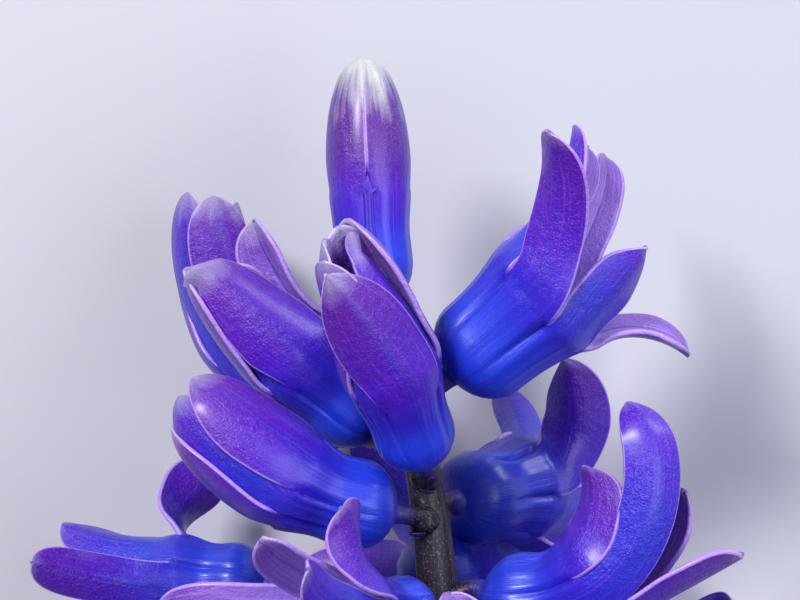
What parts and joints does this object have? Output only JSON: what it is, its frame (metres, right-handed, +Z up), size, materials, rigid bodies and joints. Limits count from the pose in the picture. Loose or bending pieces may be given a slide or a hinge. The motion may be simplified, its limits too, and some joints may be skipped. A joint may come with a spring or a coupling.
{
  "type": "hyacinth flower",
  "caption": "Cut blue-violet hyacinth raceme lying on its back: a bowed dark stem with cupped six-tepalled florets round it, closed buds at the top, open bells with recurved tips below.",
  "frame": {"origin": "middle of the outline seen from above, at the height of the lowest points", "axes": "+Y along the stem towards the youngest bud, +Z up from the ground the flower lies on, +X to the right seen from above"},
  "size_m": [0.086, 0.1768, 0.069],
  "materials": {
    "tepals": "fleshy waxy petal tissue, royal blue at the cup, violet over the lobes, pale grey-green at shut tips, soft grained sheen",
    "heart": "moist pale lilac pistil and filaments with powdery anthers",
    "scape": "smooth dark purple-brown stem with fine pale speckles, greener towards the cut end"
  },
  "bodies": {
    "root": {"floret_01": "tepals", "floret_02": "tepals", "floret_03": "tepals", "floret_04": "tepals", "floret_05": "tepals", "floret_06": "tepals", "floret_07": "tepals", "floret_08": "tepals", "floret_09": "tepals", "floret_10": "tepals", "floret_11": "tepals", "floret_12": "tepals", "floret_13": "tepals", "floret_14": "tepals", "floret_15": "tepals", "floret_16": "tepals", "floret_17": "tepals", "floret_18": "tepals", "heart_02": "heart", "heart_03": "heart", "heart_04": "heart", "heart_05": "heart", "heart_06": "heart", "heart_07": "heart", "heart_08": "heart", "heart_09": "heart", "heart_10": "heart", "heart_11": "heart", "heart_12": "heart", "heart_13": "heart", "heart_14": "heart", "heart_15": "heart", "heart_16": "heart", "heart_17": "heart", "heart_18": "heart", "scape": "scape"}
  },
  "joints": []
}
